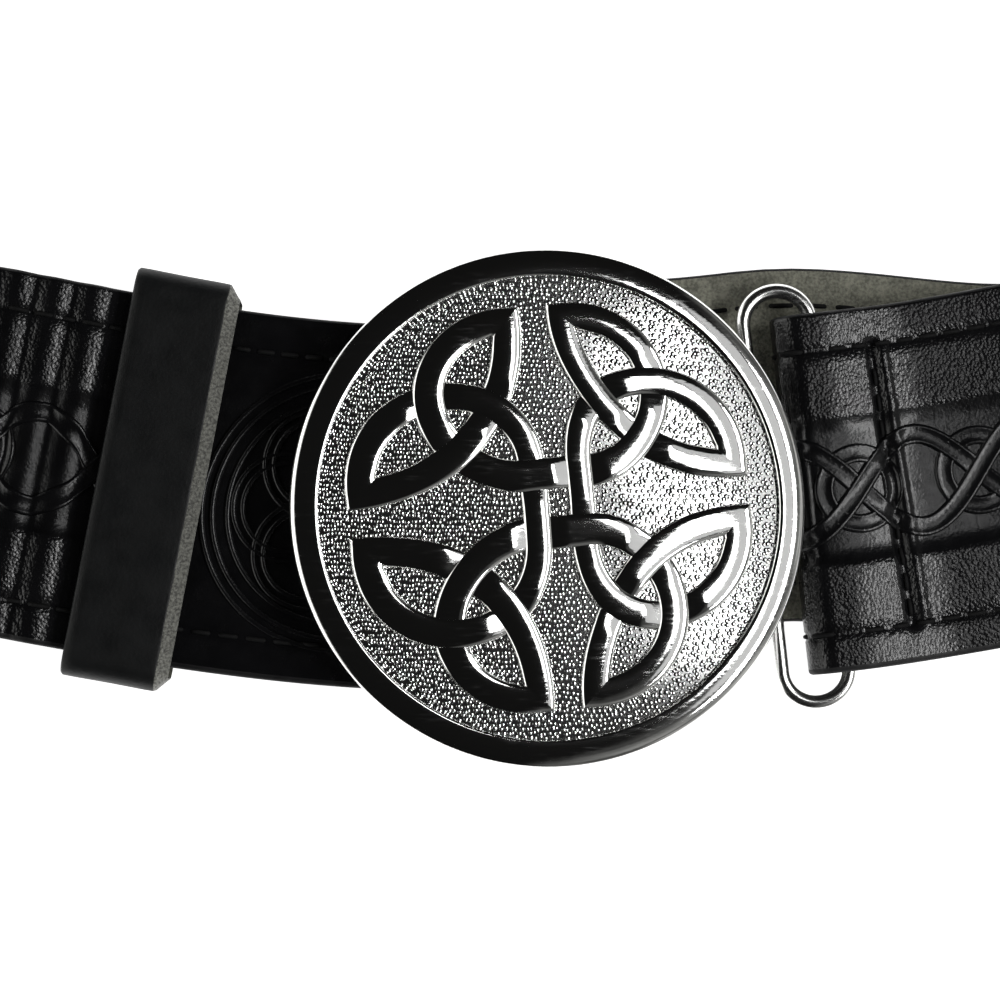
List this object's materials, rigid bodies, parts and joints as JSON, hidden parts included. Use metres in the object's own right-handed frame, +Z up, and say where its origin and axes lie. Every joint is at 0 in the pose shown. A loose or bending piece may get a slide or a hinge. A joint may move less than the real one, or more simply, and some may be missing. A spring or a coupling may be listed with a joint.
{
  "type": "kilt belt with round knotwork buckle",
  "caption": "Wide leather kilt belt, buckled and lying flattened, with a round cast buckle of raised knotwork, a wire ring and a keeper.",
  "frame": {"origin": "on the surface that the belt lies on, under the middle of the buckle plate", "axes": "+X along the belt to the ring side, +Y towards the upper edge as worn, +Z up out of the buckle's face"},
  "size_m": [0.447, 0.0888, 0.037],
  "materials": {
    "strap_leather": "black embossed grain, satin gloss, grey flesh side",
    "keeper_leather": "smooth satin black with a raw grey cut edge",
    "ring_chrome": "bright plated wire",
    "plate_chrome": "mirror polished knots and rim on a pebbled ground"
  },
  "bodies": {
    "root": {"strap": "strap_leather", "keeper": "keeper_leather", "ring": "ring_chrome", "buckle_plate": "plate_chrome"}
  },
  "joints": []
}
